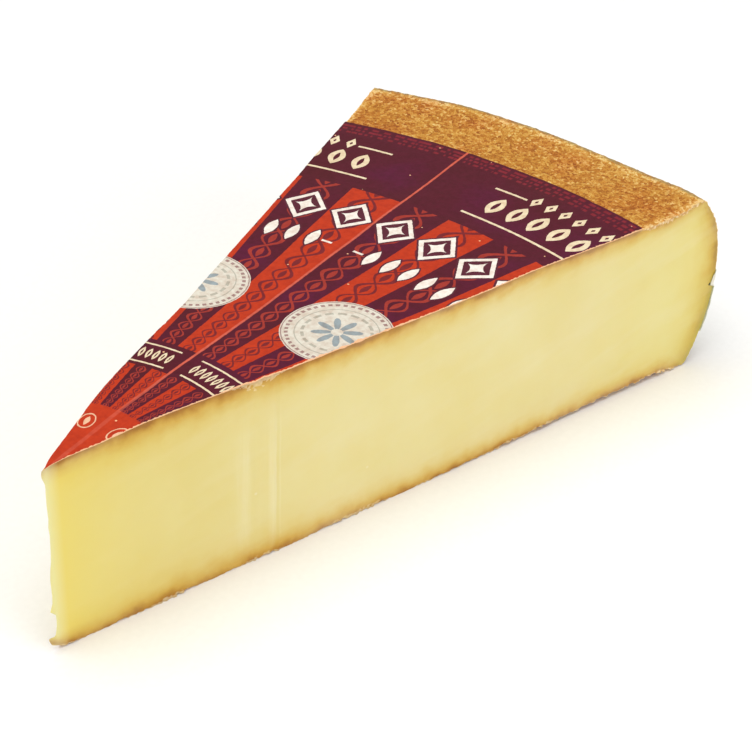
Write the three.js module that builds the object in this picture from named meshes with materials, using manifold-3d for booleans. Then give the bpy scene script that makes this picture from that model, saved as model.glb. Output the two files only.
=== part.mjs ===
// A wedge cut from the centre to the rim of a large, low wheel of hard mountain cheese.
// The paste and its natural rind are one solid. A printed paper disc covers the middle of the
// top face and a paper band runs round the heel, and both are cut through with the cheese.
// Millimetres, +Z up. The wheel's axis is the tip of the wedge while the pieces are made, and the
// finished group is moved so that its origin is the middle of the bottom of its bounding box.

import * as THREE from 'three';
import { mergeVertices } from 'three/addons/utils/BufferGeometryUtils.js';
import Module from 'manifold-3d';

// The wheel
const WHEEL_HEIGHT = 92;
const BELLY_RADIUS = 369; // the rind's widest radius, halfway up the heel
const BELLY_HEIGHT = 51; // the height at which the heel is widest
const HEEL_TAPER = 13.3; // how much smaller the radius is where the heel meets a flat face
const HEEL_POWER = 2.25; // 2 would be a parabola: a little more keeps the middle of the heel upright
const EDGE_ROUND = 4; // how far the rounding of the two rims runs along each face
const HEEL_STEP = 6; // the height of one facet of the heel

// The cut
const WEDGE_ANGLE = THREE.MathUtils.degToRad(31.7);
const KNIFE_REACH = 400; // the cutting prism reaches past the heel
const KNIFE_OVERRUN = 10; // and past the top and the bottom

// The paper
const PAPER = 0.3; // thickness of the disc and of the band
const DISC_RADIUS = 312;
const BAND_BOTTOM = 17;
const BAND_TOP = 69;
const BAND_GAP = 0.3; // clearance between the band and the rind

const TURN_SEGMENTS = 180; // two degrees each, so one edge lies on the wedge's middle plane

const wasm = await Module();
wasm.setup();

// Radius of the rind at a height above the bottom face.
function heelRadius(z) {
  const reach = z > BELLY_HEIGHT ? WHEEL_HEIGHT - BELLY_HEIGHT : BELLY_HEIGHT;
  return BELLY_RADIUS - HEEL_TAPER * (Math.abs(z - BELLY_HEIGHT) / reach) ** HEEL_POWER;
}

// Points up the heel between two heights, pushed outwards by the given distance.
function heelPoints(bottom, top, outwards = 0) {
  const steps = Math.round((top - bottom) / HEEL_STEP);
  return Array.from({ length: steps + 1 }, (_, i) => {
    const z = bottom + ((top - bottom) * i) / steps;
    return new THREE.Vector2(heelRadius(z) + outwards, z);
  });
}

// Rounds a rim: a curve between the flat face and the heel, drawn towards the sharp corner.
function rimPoints(from, corner, to) {
  return new THREE.QuadraticBezierCurve(from, corner, to).getPoints(4).slice(1, -1);
}

// Turns a profile of (radius, height) points into a closed body round the Z axis.
function turned(profile) {
  return new THREE.LatheGeometry(profile, TURN_SEGMENTS).rotateX(Math.PI / 2);
}

function toSolid(geometry) {
  const bare = geometry.clone();
  bare.deleteAttribute('normal');
  bare.deleteAttribute('uv');
  const merged = mergeVertices(bare);
  return new wasm.Manifold(
    new wasm.Mesh({
      numProp: 3,
      vertProperties: merged.attributes.position.array,
      triVerts: new Uint32Array(merged.index.array),
    }),
  );
}

function toGeometry(solid) {
  const { vertProperties, triVerts } = solid.getMesh();
  const geometry = new THREE.BufferGeometry();
  geometry.setAttribute('position', new THREE.BufferAttribute(new Float32Array(vertProperties), 3));
  geometry.setIndex(new THREE.BufferAttribute(new Uint32Array(triVerts), 1));
  geometry.computeVertexNormals();
  return geometry;
}

// The knife's two cuts: everything between them is kept. +X runs from the tip to the heel.
function wedgePrism() {
  const x = KNIFE_REACH * Math.cos(WEDGE_ANGLE / 2);
  const y = KNIFE_REACH * Math.sin(WEDGE_ANGLE / 2);
  const outline = new THREE.Shape([
    new THREE.Vector2(0, 0),
    new THREE.Vector2(x, -y),
    new THREE.Vector2(x, y),
  ]);
  const depth = WHEEL_HEIGHT + 2 * KNIFE_OVERRUN;
  const prism = new THREE.ExtrudeGeometry(outline, { depth, bevelEnabled: false });
  return toSolid(prism.translate(0, 0, -KNIFE_OVERRUN));
}

const knife = wedgePrism();

function cutFromWheel(geometry) {
  return toGeometry(toSolid(geometry).intersect(knife));
}

// Paste and natural rind: two flat faces, two rounded rims and a bulging heel.
function cheeseGeometry() {
  const at = (r, z) => new THREE.Vector2(r, z);
  const bottomRadius = heelRadius(0);
  const topRadius = heelRadius(WHEEL_HEIGHT);
  const heel = heelPoints(EDGE_ROUND, WHEEL_HEIGHT - EDGE_ROUND);
  return cutFromWheel(
    turned([
      at(0, 0),
      at(bottomRadius - EDGE_ROUND, 0),
      ...rimPoints(at(bottomRadius - EDGE_ROUND, 0), at(bottomRadius, 0), heel[0]),
      ...heel,
      ...rimPoints(heel.at(-1), at(topRadius, WHEEL_HEIGHT), at(topRadius - EDGE_ROUND, WHEEL_HEIGHT)),
      at(topRadius - EDGE_ROUND, WHEEL_HEIGHT),
      at(0, WHEEL_HEIGHT),
    ]),
  );
}

// Printed paper disc, flat on the top face, cut to the wedge.
function labelGeometry() {
  const disc = new THREE.CylinderGeometry(DISC_RADIUS, DISC_RADIUS, PAPER, TURN_SEGMENTS);
  return cutFromWheel(disc.rotateX(Math.PI / 2).translate(0, 0, WHEEL_HEIGHT + PAPER / 2));
}

// Paper band round the heel: a thin skin that follows the bulge.
function bandGeometry() {
  const inside = heelPoints(BAND_BOTTOM, BAND_TOP, BAND_GAP);
  const outside = heelPoints(BAND_BOTTOM, BAND_TOP, BAND_GAP + PAPER);
  return cutFromWheel(turned([...outside, ...inside.reverse(), outside[0].clone()]));
}

function piece(name, geometry, color, roughness) {
  const mesh = new THREE.Mesh(
    geometry,
    new THREE.MeshStandardMaterial({ color, roughness, metalness: 0 }),
  );
  mesh.name = name;
  return mesh;
}

const wedge = new THREE.Group();
wedge.add(
  piece('cheese', cheeseGeometry(), 0xeddd9b, 0.45),
  piece('top_label', labelGeometry(), 0x8c3333, 0.6),
  piece('rim_band', bandGeometry(), 0x5d7f4a, 0.6),
);
wedge.position.x = -(BELLY_RADIUS + BAND_GAP + PAPER) / 2;

export default wedge;
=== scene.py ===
import math
from functools import partial

import bpy
from mathutils import Matrix, Vector, noise


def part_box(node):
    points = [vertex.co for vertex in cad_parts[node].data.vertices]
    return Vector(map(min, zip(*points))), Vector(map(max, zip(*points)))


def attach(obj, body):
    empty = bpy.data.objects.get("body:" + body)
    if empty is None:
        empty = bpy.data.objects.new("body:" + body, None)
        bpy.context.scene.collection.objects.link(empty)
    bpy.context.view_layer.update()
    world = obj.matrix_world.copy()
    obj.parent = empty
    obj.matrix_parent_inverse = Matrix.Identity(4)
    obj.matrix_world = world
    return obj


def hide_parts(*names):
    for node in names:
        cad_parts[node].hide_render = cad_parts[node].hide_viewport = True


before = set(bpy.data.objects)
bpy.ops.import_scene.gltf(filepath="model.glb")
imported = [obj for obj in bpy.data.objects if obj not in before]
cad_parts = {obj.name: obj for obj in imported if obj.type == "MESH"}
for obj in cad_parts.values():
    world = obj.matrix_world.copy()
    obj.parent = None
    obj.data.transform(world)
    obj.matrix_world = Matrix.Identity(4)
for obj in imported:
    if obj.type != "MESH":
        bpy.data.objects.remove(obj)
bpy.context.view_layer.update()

# A wedge of hard mountain cheese: pressed cooked-curd paste with a brushed natural rind, a printed
# paper disc glued on the top face and a paper band glued round the heel.
# Shapes are worked out in millimetres and round the wheel's axis, which is the tip of the wedge:
# a radius from the tip, an angle from the wedge's middle plane and a height.
# Side -1 is the near cut, at negative angles, and side 1 is the far one.

MM = 0.001

# ---------------------------------------------------------------- sizes, from the frame

cheese_low, cheese_high = (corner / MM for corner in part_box("cheese"))
TIP_X = cheese_low.x
HEIGHT = cheese_high.z
BELLY_RADIUS = cheese_high.x - cheese_low.x
HALF_ANGLE = math.asin(cheese_high.y / BELLY_RADIUS)
DISC_RADIUS = (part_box("top_label")[1].x / MM) - TIP_X
BAND_LOW, BAND_HIGH = (corner.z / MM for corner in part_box("rim_band"))

# The heel's outline
BELLY_HEIGHT = 51    # where it stands out most
HEEL_TAPER = 13.3    # how far it draws in at the top and the bottom
HEEL_POWER = 2.25    # 2 would be a plain curve, and more is flatter at the belly
RIM_ROUND = 2.5      # how far the rim rounds over

# What the knife left on the near cut
KNIFE_MARKS = ((88.5, 0.16), (94.5, 0.2), (105, 0.34))   # distance from the tip, and depth
TORN_CORNER = 96     # distance from the tip where it tore the corner under the paper
SCRAP_LOW = 43       # the height from which it folded the band's end over
SCRAP_HIGH = 48      # and the height up to which it did

# The two papers
DISC_LIFTS = (0.34, 0.05)    # its printed front and its back, above the face
BAND_LIFTS = (0.45, 0.12)    # the same for the band, off the heel
LOOSE_EDGE = 6         # how far in the disc's edge spans the rind's grain without following it
PRINT_ASIDE = -1.5     # the disc was glued on a little off the wheel's middle
SEAM_DEGREES = 3.75    # where two printed sectors meet, from the wedge's middle plane
RAY_DEGREES = 6        # one printed ray
SEAL_DEGREES = 14.75   # a seal's middle, from the seam
SEAL_RADIUS = 143.7    # a seal's middle, from the tip
SEAL_SIZE = 24.1       # a seal's own radius
FRIEZE_DEGREES = 2.6   # one lozenge of the band's frieze

# Mesh spacing
FACE_STEP = 1.2      # along the faces
HIDDEN_STEP = 3.2    # across the top, where the paper hides it
HIDDEN_RADIUS = DISC_RADIUS - LOOSE_EDGE - 2
UNDER_STEP = 1.7     # across the underside, as far as its outer rim
UNDER_RADIUS = 330
RIND_STEP = 0.85     # on the bare rind, fine enough for its grain
RIND_ROW_STEP = 1.08 * RIND_STEP
RIM_STEPS = 8        # over the rounded rim
HEEL_ARC = 46        # the way from the rim to the belly
CUT_ROWS = 38        # from the bottom to the top of a cut
DISC_STEP = 1.9
BAND_STEP = 1.5      # round the heel
BAND_ROW_STEP = 1.3  # up the heel

# Kinds of node
MATH = "ShaderNodeMath"
VECTOR_MATH = "ShaderNodeVectorMath"
RANGE = "ShaderNodeMapRange"
RAMP = "ShaderNodeValToRGB"
NOISE = "ShaderNodeTexNoise"
CELLS = "ShaderNodeTexVoronoi"

# ---------------------------------------------------------------- small maths


def rise(low, high, value):
    """0 below low, 1 above high, and smooth between them. It falls where low is above high."""
    t = min(max((value - low) / (high - low), 0), 1)
    return t * t * (3 - 2 * t)


def hump(centre, width, value):
    """1 at the centre and near 0 from twice the width away."""
    return math.exp(-(((value - centre) / width) ** 2))


def linear(hex_colour):
    """An sRGB hex colour as linear red, green, blue and alpha."""
    parts = [int(hex_colour[i : i + 2], 16) / 255 for i in (0, 2, 4)]
    return [p / 12.92 if p <= 0.04045 else ((p + 0.055) / 1.055) ** 2.4 for p in parts] + [1.0]


def wave(x, y, z, size):
    """Smooth noise from -1 to 1, with features of the given size in millimetres."""
    return noise.noise(Vector((x, y, z)) / size)


def polar(radius, angle, height):
    """A place on the wheel, in the frame's directions."""
    return Vector((TIP_X + radius * math.cos(angle), radius * math.sin(angle), height))


def level_out(angle):
    """Level direction away from the wheel's axis."""
    return Vector((math.cos(angle), math.sin(angle), 0))


def off_cut(side):
    """Level direction straight out of a cut face."""
    return Vector((-math.sin(HALF_ANGLE), side * math.cos(HALF_ANGLE), 0))


def inside_cut(radius, angle):
    """Distance to the nearer cut."""
    return radius * math.sin(max(HALF_ANGLE - abs(angle), 0))


# ---------------------------------------------------------------- the shape of the cheese


def heel_radius(z):
    """How far the ideal heel is from the wheel's axis at a height."""
    reach = HEIGHT - BELLY_HEIGHT if z > BELLY_HEIGHT else BELLY_HEIGHT
    return BELLY_RADIUS - HEEL_TAPER * (abs(z - BELLY_HEIGHT) / reach) ** HEEL_POWER


def depth_below_rind(radius, z):
    """Roughly how deep a point lies under the nearest rind."""
    heel = (heel_radius(min(max(z, 0), HEIGHT)) - radius) * 0.65
    return max(min(z, HEIGHT - z, heel), 0)


def rind_normal(radius, z):
    """Outward direction of the nearest rind, as its radial and vertical parts."""
    to_heel = heel_radius(min(max(z, 0), HEIGHT)) - radius
    bottom, top, heel = (math.exp(-d / 2.5) for d in (z, HEIGHT - z, to_heel))
    slope = (heel_radius(max(z - 1, 0)) - heel_radius(min(z + 1, HEIGHT))) / 2
    out = Vector((heel, top - bottom + heel * slope))
    return out.normalized() if out.length > 1e-6 else Vector((0, 1))


def sag(radius, z):
    """The faces of a cheese that has stood on its shelf for months are not quite flat."""
    top = -1.2 + 1.5 * hump(65, 42, radius) - 1.7 * math.exp(-radius / 4) + 0.4 * rise(200, 230, radius)
    bottom = -0.5 + 2.6 * rise(170, 330, radius) - 2.1 * rise(336, 350, radius)
    bottom += math.exp(-radius / 7) + 0.6 * math.exp(-radius / 2)
    share = z / HEIGHT
    return top * share + bottom * (1 - share)


def rim_swell(radius, angle, z):
    """The rim swelled in two places as the wheel was turned on its boards."""
    swell = 2.2 * hump(0.12, 0.14, angle) + 3.0 * hump(-HALF_ANGLE, 0.07, angle)
    return swell * rise(325, 352, radius) * rise(HEIGHT - 30, HEIGHT, z)


def worn_corner(radius, angle, z):
    """How far the rim is worn back at the corner that is handled."""
    worn = 2.6 * hump(-HALF_ANGLE, 0.035, angle) * rise(HEIGHT - 18, HEIGHT - 1, z)
    return worn * rise(heel_radius(z) - 9, heel_radius(z), radius)


def rind_grain(p):
    """Height of the rind's crumbly grain, from 0 in a crevice to 1 on a crumb."""
    nearest = noise.voronoi(p / 2.3)[0][0]
    crumb = max(1 - (nearest / 0.62) ** 2, 0)
    patch = 0.65 + 0.45 * wave(p.x, p.y, p.z, 9)
    return min(max(crumb * patch + 0.22 * wave(p.x, p.y, p.z, 1.6), 0), 1)


def cut_relief(radius, z, side):
    """How far a cut face stands proud of a plane, where the long knife bent and dragged."""
    relief = 0.35 * wave(radius, z * 0.4, side * 50, 45) + 0.1 * wave(radius, z * 0.3, side * 90, 9)
    if side < 0:
        for mark, depth in KNIFE_MARKS:
            relief -= depth * hump(mark + 0.8 * wave(z, mark, 0, 30), 0.9, radius)
        return relief + 0.25 * rise(104, 107, radius) * rise(150, 107, radius)
    return relief + 2.1 * hump(55, 45, radius) + 0.5 * hump(140, 60, radius)


def turned_knife(radius, angle, z):
    """Near one place the knife was turned in the cut and tore the corner under the paper."""
    return hump(TORN_CORNER, 8, radius) if z > BELLY_HEIGHT and angle < 0 else 0


def crumbling(radius, angle, z):
    """How badly the corner between a cut and the rind crumbles: most on the bare dry rim."""
    inward = min(z, HEIGHT - z)
    on_heel = rise(-4, -1, radius - heel_radius(z)) * rise(0, 2, inward)
    whole = 1 - 0.9 * max(rise(4, 9, inward), on_heel)
    if z > BELLY_HEIGHT:
        dry = rise(DISC_RADIUS - 4, DISC_RADIUS + 6, radius) * (1 if angle < 0 else 0.12)
        return max(dry, 0.9 * turned_knife(radius, angle, z)) * whole
    chips = rise(0, 0.5, wave(radius, 20 * angle, 3, 16))
    return (0.22 + 0.6 * max(chips, hump(98, 9, radius), hump(338, 9, radius))) * whole


def tip_drag(z, radius):
    """How far the tip's edge is drawn out past the wheel's centre: a lip above, a burr halfway."""
    lip = 1.7 * hump(HEIGHT - 1.5, 4, z) + 0.6 * hump(3, 7, z)
    burr = 1.1 * rise(18, 21, z) * rise(48, 38, z) + 1.3 * hump(21, 1.5, z)
    ragged = 0.5 + 0.3 * wave(z, 3, 7, 13) + 0.6 * wave(z, 9, 1, 5)
    return (lip + burr + ragged) * math.exp(-radius / 1.7)


def toe(z, radius):
    """The thin end of the sole, which the knife curled outwards, up and a little aside."""
    return Vector((-2.4, 1.5, 3.2)) * hump(2.2, 3, z) * math.exp(-radius / 2.2)


def bare(radius, z):
    """1 where the rind is bare, 0 where paper covers it."""
    on_top = rise(HEIGHT - 3, HEIGHT - 1, z)
    under_disc = on_top * rise(DISC_RADIUS - 2, DISC_RADIUS - LOOSE_EDGE, radius)
    in_band = rise(BAND_LOW, BAND_LOW + 2, z) * rise(BAND_HIGH, BAND_HIGH - 2, z)
    under_band = in_band * rise(BELLY_RADIUS - 25, BELLY_RADIUS - 20, radius)
    return 1 - max(under_disc, under_band)


def cheese_point(radius, angle, z):
    """Where a point of the ideal wedge really is, with the grain and the loose crumb there."""
    p = polar(radius, angle, z)
    depth = depth_below_rind(radius, z)
    side = 1 if angle > 0 else -1
    to_cut = inside_cut(radius, angle)
    out, up = rind_normal(radius, z)

    # The rind lifts with its grain and breaks away in crumbs along the cuts.
    grain = rind_grain(p)
    at_rind = math.exp(-depth / 0.9)
    at_corner = math.exp(-to_cut / 1.8)
    show = bare(radius, z)
    crumble = crumbling(radius, angle, z)
    lift = 0.5 * wave(p.x, p.y, p.z, 26) + show * (0.62 * grain - 0.25)
    ragged = 0.9 * wave(radius, side * 40, z * 0.3, 7.5) + 0.7 * wave(radius, side * 70, z * 0.3, 2.6)
    worn = 0.2 if z > BELLY_HEIGHT else 0.8
    rough = crumble + 0.4 * rise(2, 0, z)
    lift += at_corner * rough * (1.1 * ragged + grain - worn) * rise(0, 7, radius)
    crumb = at_corner * crumble * math.exp(-depth / 1.9) * (0.1 + 1.9 * grain)
    proud = cut_relief(radius, z, side) * math.exp(-to_cut / 3) + crumb

    moved = p + (level_out(angle) * out + Vector((0, 0, up))) * lift * at_rind
    moved += off_cut(side) * proud * rise(0, 5, radius)
    moved -= level_out(angle) * worn_corner(radius, angle, z)
    moved.z += sag(radius, z) + rim_swell(radius, angle, z)
    moved.x -= tip_drag(z, radius)
    moved += toe(z, radius)
    moved.z = max(moved.z, 0)
    return moved, grain * show, crumb


# ---------------------------------------------------------------- the mesh of the cheese


def face_radii():
    """Radii along a flat face from the tip to where the rim begins to round."""
    radii = [0.0]
    end = heel_radius(0) - RIM_ROUND
    while radii[-1] < end:
        r = radii[-1]
        radii.append(r + (RIND_STEP if r > HIDDEN_RADIUS else min(0.5 + 0.05 * r, FACE_STEP)))
    radii[-1] = end
    return radii


def half_profile(face_z):
    """(radius, height) points from the centre of a flat face, over its rim, to the belly."""
    inward = 1 if face_z < BELLY_HEIGHT else -1
    flat = [(r, face_z) for r in face_radii()]
    start = Vector(flat[-1])
    corner = Vector((heel_radius(face_z), face_z))
    first = face_z + inward * RIM_ROUND
    end = Vector((heel_radius(first), first))
    rim = []
    for i in range(1, RIM_STEPS):
        t = i / RIM_STEPS
        rim.append(tuple(start * (1 - t) ** 2 + corner * 2 * t * (1 - t) + end * t * t))
    steps = round(HEEL_ARC / RIND_STEP)
    heel = []
    for i in range(steps + 1):
        z = first + (BELLY_HEIGHT - first) * i / steps
        heel.append((heel_radius(z), z))
    return flat + rim + heel


def row_angles(radius, step):
    """Angles of a row of points from cut to cut. At the tip there is only one."""
    if radius == 0:
        return [0.0]
    count = max(round(2 * HALF_ANGLE * radius / step), 1)
    return [HALF_ANGLE * (2 * i / count - 1) for i in range(count + 1)]


def cut_shares():
    """How a cut face is divided from bottom to top: close together near the rind."""
    shares = [i / CUT_ROWS for i in range(1, CUT_ROWS)]
    return [t - 0.135 * math.sin(2 * math.pi * t) for t in shares]


def zip_rows(faces, a, b):
    """Joins two rows of vertices: quads where they match, triangles where one has more."""
    if len(a) == len(b):
        faces.extend((a[i], a[i + 1], b[i + 1], b[i]) for i in range(len(a) - 1))
        return
    i = j = 0
    while i < len(a) - 1 or j < len(b) - 1:
        next_a = (i + 1) / (len(a) - 1) if i < len(a) - 1 else 2
        next_b = (j + 1) / (len(b) - 1) if j < len(b) - 1 else 2
        if next_a <= next_b:
            faces.append((a[i], a[i + 1], b[j]))
            i += 1
        else:
            faces.append((a[i], b[j + 1], b[j]))
            j += 1


def new_piece(name, vertices, faces, first_faces, materials, values):
    """Makes a piece from millimetre vertices: the first faces in one material, the rest in another."""
    mesh = bpy.data.meshes.new(name)
    mesh.from_pydata([v * MM for v in vertices], [], faces)
    for material in materials:
        mesh.materials.append(material)
    indices = [0] * first_faces + [1] * (len(faces) - first_faces)
    mesh.polygons.foreach_set("material_index", indices)
    mesh.polygons.foreach_set("use_smooth", [True] * len(faces))
    for value_name, numbers in values.items():
        layer = mesh.attributes.new(value_name, "FLOAT", "POINT")
        layer.data.foreach_set("value", numbers)
    mesh.set_sharp_from_angle(angle=math.radians(50))
    mesh.validate()
    piece = bpy.data.objects.new(name, mesh)
    bpy.context.scene.collection.objects.link(piece)
    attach(piece, "root")
    return piece


def build_cheese(rind, paste):
    """One closed skin: bottom, heel and top in rows from tip to tip, and the two cut faces."""
    vertices, faces, values = [], [], {}
    rim_radius = heel_radius(HEIGHT)

    def vertex(radius, angle, z, depth):
        moved, grain, crumb = cheese_point(radius, angle, z)
        vertices.append(moved)
        here = {
            "depth": depth,
            "grain": grain,
            "crumb": min(crumb, 1),
            "crust": crumbling(radius, angle, z) + 1.4 * turned_knife(radius, angle, z),
            "rim": rise(DISC_RADIUS + 8, rim_radius, radius),
            # A pale band just inside the top rim: a painted highlight along the rim's edge.
            "painted_rim_highlight": hump(rim_radius - 5, 1.6, radius) * rise(HEIGHT - 2, HEIGHT, z),
            "heel": rise(rim_radius - 4, rim_radius - 2.4, radius),
            "from_cut": inside_cut(radius, angle),
            "from_heel": heel_radius(z) - radius,
        }
        for name, number in here.items():
            values.setdefault(name, []).append(number)
        return len(vertices) - 1

    profile = half_profile(0) + half_profile(HEIGHT)[-2::-1]
    rows = []
    for radius, z in profile:
        step = RIND_ROW_STEP
        if z == 0 and radius < UNDER_RADIUS:
            step = UNDER_STEP
        elif radius < HIDDEN_RADIUS:
            step = HIDDEN_STEP
        rows.append([vertex(radius, angle, z, 0.0) for angle in row_angles(radius, step)])
    for low, high in zip(rows, rows[1:]):
        zip_rows(faces, low, high)
    rind_faces = len(faces)

    last = len(rows) - 1
    shares = cut_shares()
    tip = [rows[0][0]]
    tip += [vertex(0, 0, s * HEIGHT, min(s, 1 - s) * HEIGHT) for s in shares]
    tip += [rows[last][0]]
    for side, end in ((-1, 0), (1, -1)):
        before = tip
        for k in range(1, last // 2 + 1):
            low_r, low_z = profile[k]
            high_r, high_z = profile[last - k]
            column = [rows[k][end]]
            if k < last // 2:
                for s in shares:
                    radius = low_r + (high_r - low_r) * s
                    z = low_z + (high_z - low_z) * s
                    column.append(vertex(radius, side * HALF_ANGLE, z, depth_below_rind(radius, z)))
                column.append(rows[last - k][end])
            zip_rows(faces, *((column, before) if side < 0 else (before, column)))
            before = column
    return new_piece("cheese_wedge", vertices, faces, rind_faces, [rind, paste], values)


# ---------------------------------------------------------------- the paper


def new_sheet(name, vertices, front, back, materials, values):
    """A thin closed sheet, from the rows of vertices of its front and of its back."""
    faces = []
    for low, high in zip(front, front[1:]):
        zip_rows(faces, low, high)
    front_faces = len(faces)
    for i in range(len(front) - 1):
        zip_rows(faces, back[i + 1], back[i])
        faces.append((back[i][0], front[i][0], front[i + 1][0], back[i + 1][0]))
        faces.append((back[i + 1][-1], front[i + 1][-1], front[i][-1], back[i][-1]))
    zip_rows(faces, back[0], front[0])
    zip_rows(faces, front[-1], back[-1])
    return new_piece(name, vertices, faces, front_faces, materials, values)


def build_disc(print_material, core):
    """The paper disc: a sheet that lies on the top face, in rings, and ends at the two cuts."""
    vertices, from_cuts, sheets = [], [], []
    rings = round(DISC_RADIUS / DISC_STEP)
    inner_edge = DISC_RADIUS - LOOSE_EDGE
    for lift in DISC_LIFTS:
        rows = []
        for k in range(rings + 1):
            radius = DISC_RADIUS * k / rings
            rows.append([])
            for angle in row_angles(radius, DISC_STEP):
                side = 1 if angle > 0 else -1
                edge = radius
                if k == rings:
                    way = angle * 300
                    edge += 0.35 * wave(way, 0, 4, 7) + 0.2 * wave(way, 5, 0, 1.7)
                # Paper does not stretch, so it stops short of the lip at the tip.
                p, _, crumb = cheese_point(min(edge, inner_edge), angle, HEIGHT)
                p.x += 0.8 * tip_drag(HEIGHT, radius)
                if edge > inner_edge:
                    p.xy = polar(edge, angle, 0).xy
                # The cut edge is frayed, most of all where the knife pulled the paper.
                at_cut = math.exp(-inside_cut(radius, angle) / 1.5)
                torn = hump(146, 22, radius) * rise(-0.1, 0.3, wave(radius, 7, 0, 4)) * (side < 0)
                fringe = 0.12 + 0.2 * wave(radius, side * 30, 0, 2.3) + 0.5 * torn
                p += off_cut(side) * fringe * at_cut
                p.z += lift + 0.12 * at_cut * wave(radius, side * 60, 5, 6)
                spared = 1.2 * math.exp(-radius / 6) + 0.5 * (side > 0)
                from_cuts.append(inside_cut(radius, angle) + spared - 1.2 * crumb - 1.1 * torn)
                rows[-1].append(len(vertices))
                vertices.append(p)
        sheets.append(rows[::-1])
    return new_sheet("label_disc", vertices, *sheets, [print_material, core], {"from_cut": from_cuts})


def build_band(print_material, core):
    """The paper band: a sheet round the heel, torn and folded where the knife caught it."""
    vertices, from_tears, sheets = [], [], []
    width = BAND_HIGH - BAND_LOW
    length = 2 * HALF_ANGLE * BELLY_RADIUS
    across = round(width / BAND_ROW_STEP)
    along = round(length / BAND_STEP)
    for lift in BAND_LIFTS:
        rows = []
        for i in range(across + 1):
            share = i / across
            z = BAND_LOW + width * share
            # Above the scrap the band stops short of the cut, and the scrap laps over it.
            scrap = rise(SCRAP_HIGH + 4, SCRAP_HIGH, z) * rise(SCRAP_LOW - 1.5, SCRAP_LOW, z)
            over = 1.0 + 1.3 * rise(SCRAP_HIGH, SCRAP_LOW + 0.5, z)
            short = 2.8 * rise(SCRAP_HIGH + 2, SCRAP_HIGH + 5, z) - 0.6 + 0.4 * wave(z, 0, 8, 5)
            rows.append([])
            for j in range(along + 1):
                from_start = length * j / along
                arc = from_start + (short - over * scrap) * math.exp(-from_start / 9)
                angle = arc / BELLY_RADIUS - HALF_ANGLE
                height = z + 0.5 * wave(arc, 8 * (share > 0.5), 2, 9) * abs(2 * share - 1) ** 6
                on_heel = min(max(angle, -HALF_ANGLE), HALF_ANGLE)
                p, _, _ = cheese_point(heel_radius(height), on_heel, height)
                out = level_out(on_heel)
                thick = lift + 0.15 * wave(arc, height, 6, 11) + 0.12
                proud = max(-arc, 0)
                straight = out * thick + off_cut(-1) * proud
                folded = out * (0.4 - proud) + off_cut(-1) * (0.1 + lift)
                p += straight.lerp(folded, scrap * rise(0, 0.8, proud))
                spared = 1.6 * rise(SCRAP_LOW - 0.5, SCRAP_LOW - 2.5, z)
                from_tears.append(from_start - 2 * scrap + spared)
                rows[-1].append(len(vertices))
                vertices.append(p)
        sheets.append(rows)
    return new_sheet("heel_band", vertices, *sheets, [print_material, core], {"from_tear": from_tears})


# ---------------------------------------------------------------- materials


def add_node(tree, kind, inputs=(), operation=None, stops=None, **settings):
    """Adds a node with its settings, and fills its inputs with values or with other nodes."""
    node = tree.nodes.new(kind)
    if operation:
        node.operation = operation
    for name, value in settings.items():
        setattr(node, name, value)
    if stops:
        ramp = node.color_ramp.elements
        while len(ramp) < len(stops):
            ramp.new(1)
        for element, (position, colour) in zip(ramp, stops):
            element.position = position
            element.color = linear(colour)
    pairs = inputs.items() if isinstance(inputs, dict) else enumerate(inputs)
    for key, value in pairs:
        if isinstance(key, int):
            socket = node.inputs[key]
        else:
            socket = next(s for s in node.inputs if s.enabled and s.name == key)
        if isinstance(value, bpy.types.Node):
            value = next(s for s in value.outputs if s.enabled)
        if isinstance(value, bpy.types.NodeSocket):
            tree.links.new(value, socket)
        else:
            socket.default_value = value
    return node


def new_material(name, *stored):
    """A material, its own way to add nodes, a point's place, and values stored on the mesh."""
    material = bpy.data.materials.new(name)
    material.use_nodes = True
    material.node_tree.nodes.clear()
    add = partial(add_node, material.node_tree)
    place = add("ShaderNodeTexCoord").outputs["Object"]
    values = [add("ShaderNodeAttribute", attribute_name=key).outputs["Fac"] for key in stored]
    return material, add, place, *values


def lay_coats(add, colour, coats):
    """Lays coats over a colour, from the bottom up, each where its mask is. MULTIPLY only tints."""
    for mask, coat, *blend in coats:
        coat = linear(coat) if isinstance(coat, str) else coat
        mixed = {"Factor": mask, "A": colour, "B": coat}
        colour = add("ShaderNodeMix", mixed, data_type="RGBA", blend_type=blend[0] if blend else "MIX")
    return colour


def combine(add, operation, *values):
    """Joins masks: MULTIPLY keeps what is in all of them, MAXIMUM what is in any."""
    total = values[0]
    for value in values[1:]:
        total = add(MATH, [total, value], operation)
    return total


def finish_surface(add, colour, relief, strength, distance, feel):
    """Ends a material with its colour, its fine relief and how it takes the light."""
    bump = add("ShaderNodeBump", {"Height": relief, "Strength": strength, "Distance": distance})
    shader = add("ShaderNodeBsdfPrincipled", {"Base Color": colour, "Normal": bump} | feel)
    add("ShaderNodeOutputMaterial", {"Surface": shader})


def flat_from_tip(add, place, aside=0):
    """The place across the wheel's face in millimetres, from the tip or from a point beside it."""
    return add(VECTOR_MATH, [place, (1 / MM, 1 / MM, 0), (-TIP_X, -aside, 0)], "MULTIPLY_ADD")


def degrees_round(add, flat, start=0.0):
    """How many degrees a place lies round the wheel."""
    axes = add("ShaderNodeSeparateXYZ", [flat])
    angle = add(MATH, [axes.outputs["Y"], axes.outputs["X"]], "ARCTAN2")
    return add(MATH, [angle, 180 / math.pi, -start], "MULTIPLY_ADD")


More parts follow.
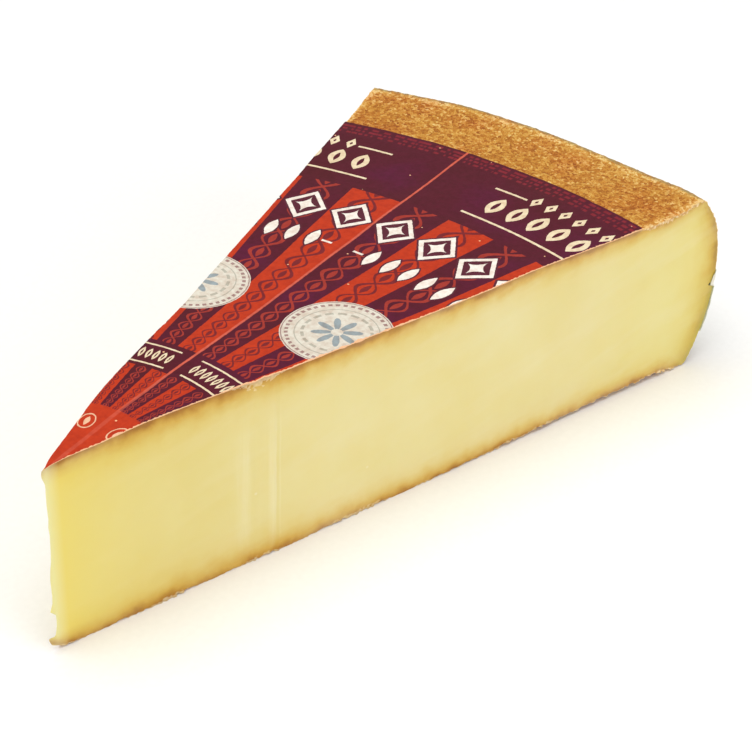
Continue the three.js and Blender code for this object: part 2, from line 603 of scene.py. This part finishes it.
def natural_rind():
    """Smear-ripened natural rind, brushed with brine for months: golden brown, grainy and dull."""
    stored = ("grain", "rim", "painted_rim_highlight", "heel", "from_cut")
    material, add, place, grain, rim, painted_rim_highlight, heel, from_cut = new_material("natural_rind", *stored)
    # Crumbs 1.5 mm across, shaken out of their cells, with paler patches 18 mm across. The dust on
    # them is too fine to show, so its specks are drawn 0.8 mm across.
    shake = add(NOISE, {"Vector": place, "Scale": 1 / (2 * MM), "Detail": 2}).outputs["Color"]
    shaken = add(VECTOR_MATH, [shake, (MM, MM, MM), place], "MULTIPLY_ADD")
    crumbs = add(CELLS, {"Vector": shaken, "Scale": 1 / (1.5 * MM)})
    speckle = add(NOISE, {"Vector": place, "Scale": 1 / (0.8 * MM), "Detail": 3})
    patches = add(NOISE, {"Vector": place, "Scale": 1 / (18 * MM), "Detail": 5})
    # The pale band just inside the top rim, broken up in patches, is a painted highlight on the rim's
    # edge.
    painted_rim_highlight = add(MATH, [painted_rim_highlight, patches], "MULTIPLY")
    # Each of these makes the rind paler, and they are balanced round zero.
    shades = ((crumbs.outputs["Color"], 0.64), (grain, 0.15), (painted_rim_highlight, 0.42), (speckle, 0.9), (rim, 0.08))
    paleness = -0.87
    for shade, weight in shades:
        paleness = add(MATH, [shade, weight, paleness], "MULTIPLY_ADD")
    # Brushing evens the grain out in some places and leaves it coarse in others.
    contrast = add(RANGE, [patches, 0.3, 0.7, 0.85, 1.15])
    paleness = add(MATH, [paleness, contrast, 0.5], "MULTIPLY_ADD")
    crust = add(RANGE, [from_cut, 3.5, 0])
    paleness = add(MATH, [crust, 0.4, paleness], "MULTIPLY_ADD")
    golden = add(RAMP, [paleness], stops=[(0.14, "955514"), (0.34, "b27222"), (0.5, "c28632"),
                                          (0.68, "d4a34d"), (0.9, "edd08c")])

    # Red-brown smear culture grows in clouds, and the rind has sweated near the cuts.
    by_cut = add(RANGE, [from_cut, 40, 0])
    sweated = add(MATH, [by_cut, 0.13, patches], "MULTIPLY_ADD")
    sweated = add(RANGE, [sweated, 0.46, 0.82])
    warm = lay_coats(add, golden, [(0.6, "e7a066", "MULTIPLY")])
    # Grey-green mould dusts the heel, where the brush passes less often, and the same grey-green is
    # painted shade on the heel beyond the rim.
    mould_and_painted_shade = add(NOISE, {"Vector": place, "Scale": 1 / (7 * MM), "Detail": 6})
    mould_and_painted_shade = add(RANGE, [mould_and_painted_shade, 0.4, 0.75, 0.25, 0.85])
    mould_and_painted_shade = add(MATH, [mould_and_painted_shade, heel], "MULTIPLY")
    spots = add(CELLS, {"Vector": place, "Scale": 1 / (34 * MM)})
    spots = add(MATH, [spots, 0.024], "LESS_THAN")
    colour = lay_coats(add, golden, [(sweated, warm), (mould_and_painted_shade, "88825c"), (spots, "4a2c14")])

    relief = add(MATH, [speckle, crumbs], "SUBTRACT")
    feel = {"Roughness": 0.7, "IOR": 1.45, "Specular IOR Level": 0.3, "Subsurface Weight": 0.1,
            "Subsurface Radius": (1.0, 0.6, 0.3), "Subsurface Scale": 1.2 * MM}
    finish_surface(add, colour, relief, 0.7, 0.35 * MM, feel)
    return material


def cut_paste():
    """Pressed cooked-curd paste cut with a long knife: dense, moist, faintly translucent."""
    stored = ("depth", "crumb", "crust", "from_heel")
    material, add, place, depth, crumb, crust, from_heel = new_material("cut_paste", *stored)
    radius = add(VECTOR_MATH, [flat_from_tip(add, place)], "LENGTH")
    axes = add("ShaderNodeSeparateXYZ", [place])
    up = add(MATH, [axes.outputs["Z"], 1 / MM], "MULTIPLY")
    near_side = add(MATH, [axes.outputs["Y"], 0.0], "LESS_THAN")

    # Brine and smear have browned the paste under the rind, deeper in some places than in others.
    drift = add(NOISE, {"Vector": place, "Scale": 1 / (9 * MM), "Detail": 6})
    thick = add(RANGE, [radius, 60, 300, 0.75, 1.1])
    under = add(MATH, [depth, thick], "MULTIPLY")
    under = add(MATH, [drift, 7.0, under], "MULTIPLY_ADD")
    under = add(RANGE, [under, 3.5, 23.5])
    ripened = add(RAMP, [under], stops=[(0.0, "a8722a"), (0.03, "b07a2a"), (0.09, "c7983e"),
                                        (0.17, "d8b258"), (0.29, "dfc577"), (0.44, "e4d28f"),
                                        (0.65, "e6d89c"), (1.0, "e6da9f")])
    mottle = add(NOISE, {"Vector": place, "Scale": 1 / (40 * MM), "Detail": 5})
    mottle = add(RANGE, [mottle, 0.3, 0.75])

    # It ripened yellower towards the heel, and greenish just under the mould there.
    heelward = add(RANGE, [from_heel, 90, 10])
    green = add(MATH, [from_heel, -1 / 7], "MULTIPLY")
    green = add(MATH, [green], "EXPONENT")
    green = add(MATH, [green, add(RANGE, [up, 52, 42, 0.35, 0.75])], "MULTIPLY")

    # Pale smears lie along the knife's way, drawn out from the tip towards the heel.
    slant = add(MATH, [radius, -0.22, up], "MULTIPLY_ADD")
    drawn = add("ShaderNodeCombineXYZ", [radius, slant, axes.outputs["Y"]])
    drawn = add("ShaderNodeMapping", {"Vector": drawn, "Scale": (1 / 60, 1 / 11, 1 / (125 * MM))})
    smear = add(NOISE, {"Vector": drawn, "Scale": 1, "Detail": 4})
    smear = add(RANGE, [smear, 0.5, 0.8, 0, 0.22])

    # Where the knife was turned the paste dragged on it and left whitish lines down the near face,
    # broken into threads 1.4 mm across and 40 mm long and fading towards both ends.
    bend = add(NOISE, {"Vector": place, "Scale": 1 / (26 * MM), "Detail": 2})
    across = add(MATH, [bend, 2.5, radius], "MULTIPLY_ADD")
    across = add(RANGE, [across, 85, 111])
    lines = ((0.0, "00"), (0.1, "8a"), (0.2, "ba"), (0.3, "a8"), (0.36, "3a"), (0.5, "50"), (0.66, "40"),
             (0.73, "b0"), (0.83, "d0"), (0.85, "10"), (0.885, "20"), (0.9, "9a"), (0.93, "10"),
             (1.0, "00"))
    scrape = add(RAMP, [across], stops=[(position, grey * 3) for position, grey in lines])
    streak = add("ShaderNodeMapping", {"Vector": place, "Scale": (0.7 / MM, 0.7 / MM, 0.025 / MM)})
    streak = add(NOISE, {"Vector": streak, "Scale": 1, "Detail": 3})
    from_middle = add(MATH, [up, 0.43 * HEIGHT], "SUBTRACT")
    from_middle = add(MATH, [from_middle], "ABSOLUTE")
    fading = add(RANGE, [from_middle, 38, 16])
    scrape = combine(add, "MULTIPLY", scrape, near_side, streak, fading)

    # The thin end lets light through, and that light is painted on it: duller, then yellow, then pale
    # along the very edge.
    narrow = add(RANGE, [radius, 130, 60])
    tip = add(RANGE, [radius, 130, 0])
    tip = add(MATH, [tip, 4.0], "POWER")
    tip = add(MATH, [tip, add(RANGE, [depth, 1, 9, 0, 0.9])], "MULTIPLY")
    edge = add(RANGE, [radius, 5.5, 0])
    edge = add(MATH, [edge, add(RANGE, [up, 4, 9, 0.4, 0.65])], "MULTIPLY")

    # Dry crumbs of rind cling along the corner, and salt crystals stand here and there.
    grit = add(CELLS, {"Vector": place, "Scale": 1 / (1.5 * MM)})
    reach = combine(add, "MULTIPLY", grit.outputs["Color"], 3.2, crust)
    reach = add(MATH, [crumb, 1.5, reach], "MULTIPLY_ADD")
    clings = add(MATH, [depth, reach], "LESS_THAN")
    clings = add(MATH, [clings, add(RANGE, [radius, 300, 315, 0.5, 0.85])], "MULTIPLY")
    # Each crumb is pale in the middle and browner towards its edge: the brown between the crumbs is
    # painted shade.
    crumbs = add(RAMP, [grit], stops=[(0.1, "f6e4ba"), (0.45, "e8c48c"), (0.75, "c99a5c")])
    moist = add(RANGE, [radius, 315, 300, 0, 0.6])
    crumbs = lay_coats(add, crumbs, [(moist, "f0e6bc")])
    crystals = add(CELLS, {"Vector": place, "Scale": 1 / (26 * MM)})
    crystals = add(RANGE, [crystals, 0.035, 0.015, 0, 0.3])

    # The knife nicked the corner where it caught the band, and the shade in the small hole it left is
    # painted there as a dark spot.
    nick_painted_shade = add("ShaderNodeCombineXYZ", [from_heel, up])
    nick_painted_shade = add(VECTOR_MATH, [nick_painted_shade, (2.7, SCRAP_LOW + 0.2, 0)], "DISTANCE")
    nick_painted_shade = add(MATH, [nick_painted_shade, 0.8], "LESS_THAN")
    nick_painted_shade = add(MATH, [nick_painted_shade, near_side], "MULTIPLY")

    # The paste's own grain is too fine to show, so it is drawn 1.1 mm across.
    fine = add(NOISE, {"Vector": place, "Scale": 1 / (1.1 * MM), "Detail": 4})
    coats = [
        (mottle, "fbf6df", "MULTIPLY"),
        (heelward, "ffffe2", "MULTIPLY"),
        (green, "c6bd58"),
        (smear, "ece4c0"),
        (scrape, "f4eed0"),
        # These three coats are painted light through the thin end.
        (narrow, "faf7e4", "MULTIPLY"),
        (tip, "e9d564"),
        (edge, "e6e3b2"),
        (clings, crumbs),
        (crystals, "f6f1dc"),
        (nick_painted_shade, "4a4214"),
    ]
    relief = add(MATH, [streak, 0.5, fine], "MULTIPLY_ADD")
    feel = {"Roughness": 0.45, "IOR": 1.45, "Specular IOR Level": 0.4, "Subsurface Weight": 0.25,
            "Subsurface Radius": (1.0, 0.75, 0.35), "Subsurface Scale": 3 * MM}
    finish_surface(add, lay_coats(add, ripened, coats), relief, 0.3, 0.14 * MM, feel)
    return material


def ornament(add, across, along, wide, tall, bulge):
    """A rule that is below 1 inside a printed figure: bulge 1 is a lozenge, 2 a leaf, 0.6 a star."""
    shares = []
    for distance, size, power in ((across, wide, min(bulge, 1)), (along, tall, bulge)):
        distance = add(MATH, [distance], "ABSOLUTE")
        share = add(MATH, [distance, size], "DIVIDE")
        shares.append(add(MATH, [share, power], "POWER"))
    return add(MATH, shares, "ADD")


def repeated(add, angle, radius, period, shift=0.0):
    """Distance across each of a row of figures, in millimetres, one every so many degrees."""
    shifted = add(MATH, [angle, shift], "ADD")
    cell = add(MATH, [shifted, period / 2, -period / 2], "WRAP")
    return combine(add, "MULTIPLY", cell, radius, math.pi / 180)


def ray_layers(add, radius, angle):
    """Red and plum rays in turn, in two rings round a red heart, with a chain along each ray."""
    turn = add(MATH, [angle, 1 / (2 * RAY_DEGREES)], "MULTIPLY")
    turn = add(MATH, [turn], "FRACT")
    red_turn = add(MATH, [turn, 0.5], "LESS_THAN")
    plum_turn = add(MATH, [1.0, red_turn], "SUBTRACT")
    rings = []
    for start, end in ((92, 250), (41.5, 72.5)):
        rings.append(add(MATH, [radius, (start + end) / 2, (end - start) / 2], "COMPARE"))
    in_rays = combine(add, "MAXIMUM", *rings)
    heart = add(MATH, [radius, 42], "LESS_THAN")
    red = combine(add, "MAXIMUM", combine(add, "MULTIPLY", in_rays, red_turn), heart)

    # The chain is two waves that cross, 1.45 degrees to each side, with a leaf in each link. The
    # logarithm makes its links grow with the distance from the tip, as the rays do.
    ray = add(MATH, [angle, RAY_DEGREES, 0.0], "WRAP")
    ray = add(MATH, [ray, RAY_DEGREES / 2], "SUBTRACT")
    phase = add(MATH, [radius, math.e], "LOGARITHM")
    phase = add(MATH, [phase, 44.0], "MULTIPLY")
    swing = add(MATH, [phase], "SINE")
    swing = add(MATH, [swing, 1.45], "MULTIPLY")
    back = add(MATH, [swing, -1.0], "MULTIPLY")
    link = add(MATH, [ray, swing, 0.32], "COMPARE")
    link_back = add(MATH, [ray, back, 0.21], "COMPARE")
    leaf = add(MATH, [swing], "ABSOLUTE")
    leaf = add(MATH, [leaf, 0.62, -0.42], "MULTIPLY_ADD")
    leaf = add(MATH, [add(MATH, [ray], "ABSOLUTE"), leaf], "LESS_THAN")
    chain = combine(add, "MAXIMUM", link, link_back, leaf)
    on_red = combine(add, "MULTIPLY", chain, in_rays, red_turn)
    on_plum = combine(add, "MULTIPLY", chain, in_rays, plum_turn)
    return [(red, "c0360f"), (on_red, "7a2024"), (on_plum, "a23428")]


def border_layers(add, radius, angle, from_seam):
    """Ticks along the outer edge, cream rules and rows, marks in the heart, and white figures."""
    # Three rings of broken dark red ticks.
    ticks = []
    for row, (ring, rate) in enumerate(((302.8, 1.9), (306.2, 2.3), (309.4, 1.7))):
        beat = add(NOISE, {"W": angle, "Scale": rate, "Detail": 0}, noise_dimensions="1D")
        lit = add(MATH, [beat, 0.5 - 0.02 * row], "GREATER_THAN")
        on_ring = add(MATH, [radius, ring, 0.95], "COMPARE")
        ticks.append(combine(add, "MULTIPLY", lit, on_ring))

    # Rules, each on its ring and from one angle to another on both sides of the seam.
    rules = []
    for ring, half_width, start, end in (
        (261.5, 0.75, 5.7, 90),
        (290.0, 0.75, 5.7, 9.3),
        (75.0, 0.5, 3.2, 90),
        (88.5, 0.5, 3.2, 90),
        (199.5, 0.7, 1.65, 3.15),
    ):
        on_ring = add(MATH, [radius, ring, half_width], "COMPARE")
        in_reach = add(MATH, [from_seam, (start + end) / 2, (end - start) / 2], "COMPARE")
        rules.append(combine(add, "MULTIPLY", on_ring, in_reach))
    *cream_rules, white_dash = rules

    # Rows of veined leaves and of small lozenges between the rules.
    rows = []
    for ring, period, wide, tall, bulge, start in (
        (275.5, 2.6, 4.0, 8.2, 2, 6.5),
        (291.5, 1.7, 2.6, 5.4, 1, 9.35),
        (81.8, 2.2, 1.1, 3.8, 2, 3.3),
    ):
        along = add(MATH, [radius, ring], "SUBTRACT")
        figure = ornament(add, repeated(add, angle, radius, period), along, wide, tall, bulge)
        solid = add(MATH, [figure, 1.0], "LESS_THAN")
        vein = add(MATH, [figure, 0.3], "GREATER_THAN")
        in_reach = add(MATH, [from_seam, start], "GREATER_THAN")
        rows.append(combine(add, "MULTIPLY", solid, vein, in_reach))

    # An oval ring with a leaf in it stands in the red heart of each sector, cut through by the cut.
    across = repeated(add, angle, radius, 28.5, 16.5)
    along = add(MATH, [radius, 31.0], "SUBTRACT")
    spot = add("ShaderNodeCombineXYZ", [across, along])
    spot = add(VECTOR_MATH, [spot, (1 / 3.4, 1 / 4.8, 0)], "MULTIPLY")
    oval = add(VECTOR_MATH, [spot], "LENGTH")
    oval = add(MATH, [oval, 0.92, 0.07], "COMPARE")
    heart_leaf = ornament(add, across, along, 1.1, 2.8, 2)
    heart_leaf = add(MATH, [heart_leaf, 1.0], "LESS_THAN")

    # Large white lozenges, each with a star in it, and a row of small leaves nearer the tip.
    across = repeated(add, angle, radius, RAY_DEGREES, RAY_DEGREES / 2)
    along = add(MATH, [radius, 225.5], "SUBTRACT")
    lozenge = ornament(add, across, along, 10.4, 13.4, 1)
    lozenge_shadow = add(MATH, [lozenge, 1.12], "LESS_THAN")
    outline = add(MATH, [lozenge, 0.87, 0.13], "COMPARE")
    star = ornament(add, across, along, 5.6, 7.4, 0.6)
    star = add(MATH, [star, 1.0], "LESS_THAN")
    across = repeated(add, angle, radius, RAY_DEGREES / 2, RAY_DEGREES / 4)
    along = add(MATH, [radius, 199.5], "SUBTRACT")
    leaf = ornament(add, across, along, 2.5, 7.4, 2)
    past_dash = add(MATH, [from_seam, 3.4], "GREATER_THAN")
    leaf_shadow = combine(add, "MULTIPLY", add(MATH, [leaf, 1.35], "LESS_THAN"), past_dash)
    leaf = combine(add, "MULTIPLY", add(MATH, [leaf, 1.0], "LESS_THAN"), past_dash)
    return [
        (combine(add, "MAXIMUM", *ticks), "82202c"),
        (combine(add, "MAXIMUM", oval, heart_leaf), "ecc09c"),
        (combine(add, "MAXIMUM", *cream_rules, *rows), "ecdcb8"),
        (combine(add, "MAXIMUM", lozenge_shadow, leaf_shadow), "5a2030"),
        (combine(add, "MAXIMUM", outline, star, leaf, white_dash), "f4eee2"),
    ]


def seal_layers(add, radius, from_seam):
    """Pale round seals, one on each side of the seam: rings, a ring of beads and a rosette."""
    arm = add(MATH, [radius, 0.5, SEAL_RADIUS / 2], "MULTIPLY_ADD")
    turned = add(MATH, [from_seam, SEAL_DEGREES], "SUBTRACT")
    across = combine(add, "MULTIPLY", turned, arm, math.pi / 180)
    along = add(MATH, [radius, SEAL_RADIUS], "SUBTRACT")
    spot = add("ShaderNodeCombineXYZ", [across, along])
    out = add(VECTOR_MATH, [spot], "LENGTH")
    round_angle = add(MATH, [along, across], "ARCTAN2")
    seal = add(MATH, [out, SEAL_SIZE], "LESS_THAN")
    # The rosette has eight petals, 11 mm long, round an open eye.
    petals = add(MATH, [round_angle, 4.0], "MULTIPLY")
    petals = add(MATH, [petals], "COSINE")
    petals = add(MATH, [petals], "ABSOLUTE")
    petals = add(MATH, [petals, 11.0], "MULTIPLY")
    rosette = add(MATH, [out, petals], "LESS_THAN")
    eye = add(MATH, [out, 2.6], "GREATER_THAN")
    layers = [(seal, "ded8c8")]
    for line, beads, share, ring, half_width, ink in (
        (23.4, 43.0, -0.2, 21.2, 0.8, "a48780"),
        (17.8, 17.0, -0.5, 14.6, 0.7, "b9b6a6"),
    ):
        thin_line = add(MATH, [out, line, 0.25], "COMPARE")
        beat = add(MATH, [round_angle, beads], "MULTIPLY")
        beat = add(MATH, [beat], "COSINE")
        beat = add(MATH, [beat, share], "GREATER_THAN")
        on_ring = add(MATH, [out, ring, half_width], "COMPARE")
        marks = combine(add, "MULTIPLY", beat, on_ring)
        layers.append((combine(add, "MAXIMUM", thin_line, marks), ink))
    return layers + [(combine(add, "MULTIPLY", rosette, eye, seal), "97a3a6")]


def print_layers(add, radius, angle):
    """The print, as (mask, ink) pairs from the bottom up. Angle is in degrees from the seam."""
    from_seam = add(MATH, [angle], "ABSOLUTE")
    # The seam where one printed sector meets the next is wider and fainter in the heart.
    beside = combine(add, "MULTIPLY", from_seam, radius, math.pi / 180)
    beside = add(MATH, [beside, add(RANGE, [radius, 70, 35, 0.6, 0.95])], "DIVIDE")
    seam = add(RANGE, [beside, 1.15, 0.75])
    seam = add(MATH, [seam, add(RANGE, [radius, 35, 75, 0.4, 1])], "MULTIPLY")
    rays = ray_layers(add, radius, angle)
    borders = border_layers(add, radius, angle, from_seam)
    return rays + borders + [(seam, "d2604a")] + seal_layers(add, radius, from_seam)


def coated_label_paper():
    """Coated paper printed in two inks and glued on the damp rind: satin, with the rind's relief."""
    material, add, place, from_cut = new_material("coated_label_paper", "from_cut")
    # Ink creeps a little along the fibres, so no printed edge is quite straight.
    creep = add(NOISE, {"Vector": place, "Scale": 1 / (1.6 * MM), "Detail": 2})
    flat = flat_from_tip(add, place, PRINT_ASIDE)
    flat = add(VECTOR_MATH, [creep.outputs["Color"], (0.5, 0.5, 0), flat], "MULTIPLY_ADD")
    radius = add(VECTOR_MATH, [flat], "LENGTH")
    angle = degrees_round(add, flat, SEAM_DEGREES)
    cloud = add(NOISE, {"Vector": place, "Scale": 1 / (45 * MM), "Detail": 3})
    plum = add(RAMP, [cloud], stops=[(0.3, "540f1c"), (0.5, "570e24"), (0.7, "5a0c34")])
    printed = lay_coats(add, plum, print_layers(add, radius, angle))

    # Rubbed specks and the raw edge, where the knife went through, show the cream paper. Its fibre
    # is too fine to show, so its clouds are drawn 2.5 mm across.
    fibre = add(NOISE, {"Vector": place, "Scale": 1 / (2.5 * MM), "Detail": 5})
    fade = add(RANGE, [fibre, 0.35, 0.7])
    specks = add(CELLS, {"Vector": place, "Scale": 1 / (10 * MM)})
    specks = add(MATH, [specks, 0.045], "LESS_THAN")
    ragged = add(MATH, [creep, 1.6, from_cut], "MULTIPLY_ADD")
    raw = add(MATH, [ragged, 1.15], "LESS_THAN")
    rubbed = combine(add, "MAXIMUM", specks, raw)
    colour = lay_coats(add, printed, [(fade, "e9dcd6", "MULTIPLY"), (rubbed, "eeb88a")])
    relief = add(NOISE, {"Vector": place, "Scale": 1 / (3 * MM), "Detail": 4})
    feel = {"Roughness": 0.48, "IOR": 1.45, "Specular IOR Level": 0.2}
    finish_surface(add, colour, relief, 0.35, 0.3 * MM, feel)
    return material


def printed_band_paper():
    """Thin uncoated paper printed in one green ink and glued damp round the heel: dull and creased."""
    material, add, place, from_tear = new_material("printed_band_paper", "from_tear")
    creep = add(NOISE, {"Vector": place, "Scale": 1 / (1.6 * MM), "Detail": 2})
    angle = degrees_round(add, flat_from_tip(add, place))
    height = add("ShaderNodeSeparateXYZ", [place]).outputs["Z"]
    height = add(MATH, [height, 1 / MM, -(BAND_LOW + BAND_HIGH) / 2], "MULTIPLY_ADD")
    height = add(MATH, [creep, 0.5, height], "MULTIPLY_ADD")
    from_middle = add(MATH, [height], "ABSOLUTE")

    # A frieze of lozenges with stars in them and leaves between them, and beads and rules beside it.
    across = repeated(add, angle, BELLY_RADIUS, FRIEZE_DEGREES)
    lozenge = ornament(add, across, height, 7.0, 11.5, 1)
    outline = add(MATH, [lozenge, 0.88, 0.12], "COMPARE")
    between = repeated(add, angle, BELLY_RADIUS, FRIEZE_DEGREES, FRIEZE_DEGREES / 2)
    bead_cells = repeated(add, angle, BELLY_RADIUS, FRIEZE_DEGREES / 4)
    from_row = add(MATH, [from_middle, 16.4], "SUBTRACT")
    figures = [outline]
    for sideways, along, wide, tall, bulge in (
        (across, height, 4.4, 7.4, 0.6),
        (between, height, 1.7, 6.0, 2),
        (bead_cells, from_row, 1.1, 1.3, 1),
    ):
        figure = ornament(add, sideways, along, wide, tall, bulge)
        figures.append(add(MATH, [figure, 1.0], "LESS_THAN"))
    for rule, half_width in ((22.0, 1.1), (19.2, 0.35)):
        figures.append(add(MATH, [from_middle, rule, half_width], "COMPARE"))
    bare_paper = combine(add, "MAXIMUM", *figures)
    # The fibre is too fine to show, so its clouds are drawn 2.5 mm across.
    fibre = add(NOISE, {"Vector": place, "Scale": 1 / (2.5 * MM), "Detail": 6})
    ink = add(RAMP, [fibre], stops=[(0.3, "3f5f36"), (0.55, "4d7040"), (0.75, "64855a")])

    # Brine has come through in brownish clouds, and the torn end shows white fibre.
    stain = add(NOISE, {"Vector": place, "Scale": 1 / (24 * MM), "Detail": 5})
    stain = add(RANGE, [stain, 0.45, 0.75])
    worn = add(NOISE, {"Vector": place, "Scale": 1 / (5 * MM), "Detail": 8})
    worn = add(MATH, [worn, 0.69], "GREATER_THAN")
    torn = add(MATH, [creep, 1.6, from_tear], "MULTIPLY_ADD")
    torn = add(MATH, [torn, 1.4], "LESS_THAN")
    white = combine(add, "MAXIMUM", worn, torn)
    coats = [(bare_paper, "e4dcc0"), (stain, "d9c49a", "MULTIPLY"), (white, "e6e0cf")]
    crease = add(NOISE, {"Vector": place, "Scale": 1 / (8 * MM), "Detail": 3},
                 noise_type="RIDGED_MULTIFRACTAL")
    relief = add(MATH, [crease, 0.4, fibre], "MULTIPLY_ADD")
    feel = {"Roughness": 0.62, "IOR": 1.45, "Specular IOR Level": 0.25}
    finish_surface(add, lay_coats(add, ink, coats), relief, 0.5, 0.4 * MM, feel)
    return material


def raw_paper(name, light, dark, fibre_size):
    """Unprinted paper: matt. Its fibre is too fine to show, so it is drawn as coarser soft clouds."""
    material, add, place = new_material(name)
    fibre = add(NOISE, {"Vector": place, "Scale": 1 / fibre_size, "Detail": 5})
    colour = add(RAMP, [fibre], stops=[(0.3, dark), (0.7, light)])
    feel = {"Roughness": 0.85, "IOR": 1.45, "Specular IOR Level": 0.3}
    finish_surface(add, colour, fibre, 0.3, 0.1 * MM, feel)
    return material


# ---------------------------------------------------------------- camera, light and floor


def place_camera():
    """A long lens from the tip's side, looking down on the printed face and one cut face."""
    eye = Vector((-0.5622, -0.4048, 0.4999))
    yaw, pitch, roll = (math.radians(a) for a in (34.42, 33.88, 2.62))
    ahead = Vector((math.cos(pitch) * math.cos(yaw), math.cos(pitch) * math.sin(yaw), -math.sin(pitch)))
    right = Vector((math.sin(yaw), -math.cos(yaw), 0))
    up = right.cross(ahead)
    rolled_right = right * math.cos(roll) + up * math.sin(roll)
    rolled_up = up * math.cos(roll) - right * math.sin(roll)
    data = bpy.data.cameras.new("camera")
    data.lens = 87.8
    data.sensor_width = 36
    data.clip_start = 0.01
    camera = bpy.data.objects.new("camera", data)
    turn = Matrix((rolled_right, rolled_up, -ahead)).transposed().to_4x4()
    camera.matrix_world = Matrix.Translation(eye) @ turn
    bpy.context.scene.collection.objects.link(camera)
    bpy.context.scene.camera = camera


def softbox(name, place, size, power):
    """A square soft light that looks at the middle of the wedge."""
    data = bpy.data.lights.new(name, "AREA")
    data.shape = "SQUARE"
    data.size = size
    data.energy = power
    light = bpy.data.objects.new(name, data)
    light.location = place
    aim = Vector((0, 0, 0.04)) - Vector(place)
    light.rotation_euler = aim.to_track_quat("-Z", "Y").to_euler()
    bpy.context.scene.collection.objects.link(light)


def light_and_floor():
    """Two large softboxes in a pale studio, and a plain pale floor."""
    world = bpy.data.worlds.new("studio")
    world.use_nodes = True
    background = world.node_tree.nodes["Background"]
    background.inputs["Color"].default_value = (1, 1, 1, 1)
    background.inputs["Strength"].default_value = 0.45
    bpy.context.scene.world = world
    softbox("top_softbox", (-0.5, 0.2, 3.4), 3.6, 104)
    softbox("side_softbox", (-0.1, -3.2, 1.5), 2.4, 34)

    mesh = bpy.data.meshes.new("floor")
    side = 6
    corners = [(-side, -side, 0), (side, -side, 0), (side, side, 0), (-side, side, 0)]
    mesh.from_pydata(corners, [], [(0, 1, 2, 3)])
    mesh.materials.append(raw_paper("pale_backdrop_paper", "f7f6f4", "f4f3f1", 3 * MM))
    floor = bpy.data.objects.new("floor", mesh)
    bpy.context.scene.collection.objects.link(floor)
    bpy.context.scene.view_settings.view_transform = "Standard"


# ---------------------------------------------------------------- putting it together

place_camera()
light_and_floor()

cheese = build_cheese(natural_rind(), cut_paste())
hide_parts("cheese")

disc_core = raw_paper("label_paper_core", "f2c79c", "e2ae7c", 0.8 * MM)
disc = build_disc(coated_label_paper(), disc_core)
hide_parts("top_label")

band_core = raw_paper("band_paper_core", "e6e8d4", "bfc6a2", 0.8 * MM)
band = build_band(printed_band_paper(), band_core)
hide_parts("rim_band")
